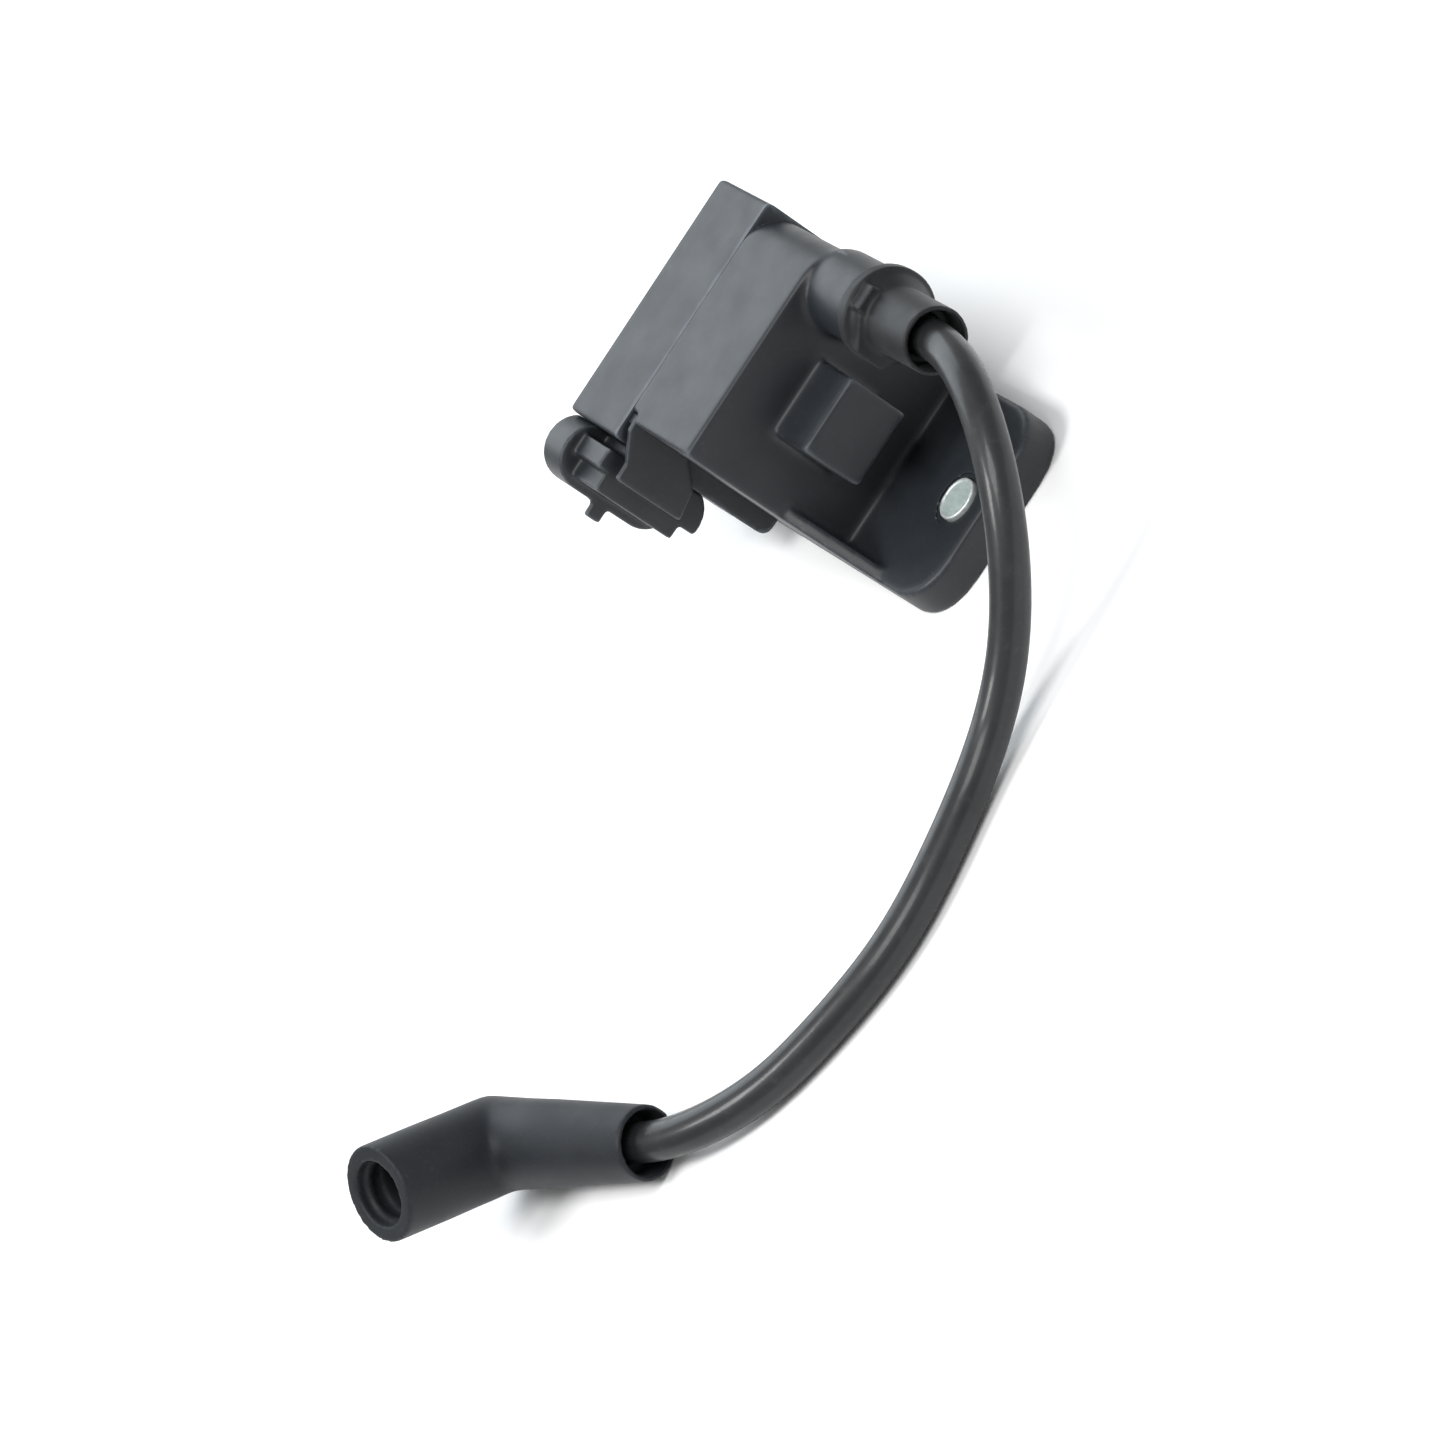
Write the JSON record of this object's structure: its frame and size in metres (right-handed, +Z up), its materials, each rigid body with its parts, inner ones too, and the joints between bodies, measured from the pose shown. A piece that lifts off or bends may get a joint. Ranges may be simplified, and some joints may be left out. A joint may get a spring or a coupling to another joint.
{
  "type": "ignition coil",
  "caption": "Small-engine ignition coil: potted moulded case on a flat bolt-down base, with an oval plug-in primary connector and a fixed high-tension lead ending in an elbow plug boot.",
  "frame": {"origin": "on the mounting face, midway between the two fixing holes", "axes": "+X through the fixing holes towards the tower and lead, +Y towards the side the tower stands on, +Z up from the mounting face"},
  "size_m": [0.1582, 0.1846, 0.0438],
  "materials": {
    "plastic": "satin moulded, glass-filled",
    "cover_plastic": "satin moulded, glass-filled",
    "connector_plastic": "satin moulded",
    "bushing_steel": "zinc plated",
    "core_steel": "silicon steel stack",
    "magnet": "sintered",
    "cushion": "silicone",
    "bobbin_plastic": "moulded",
    "copper": "enamelled copper wire",
    "resin": "cast epoxy",
    "brass": "stamped",
    "tinned": "tin plated",
    "cap_rubber": "matt",
    "jacket": "semi-gloss silicone",
    "boot_rubber": "matt"
  },
  "bodies": {
    "root": {"case": "plastic", "rear_cover": "cover_plastic", "mount_bushings": "bushing_steel", "core_laminations": "core_steel", "bias_magnet": "magnet", "core_cushion": "cushion", "primary_bobbin": "bobbin_plastic", "primary_winding": "copper", "secondary_bobbin": "bobbin_plastic", "secondary_winding": "copper", "potting": "resin", "hv_terminal": "brass", "hv_link": "copper", "connector_housing": "connector_plastic", "connector_pins": "tinned", "primary_leads": "copper", "tower_cap": "cap_rubber", "ht_lead": "jacket", "lead_conductor": "tinned"},
    "boot": {"plug_boot": "boot_rubber", "plug_terminal": "brass"}
  },
  "joints": [
    {"name": "boot_swivel", "type": "hinge", "parent": "root", "child": "boot", "pos_m": [0.0406, -0.13367, 0.00985], "axis": [0.9061, 0.4142, -0.0863], "range_deg": [-45, 45]}
  ]
}
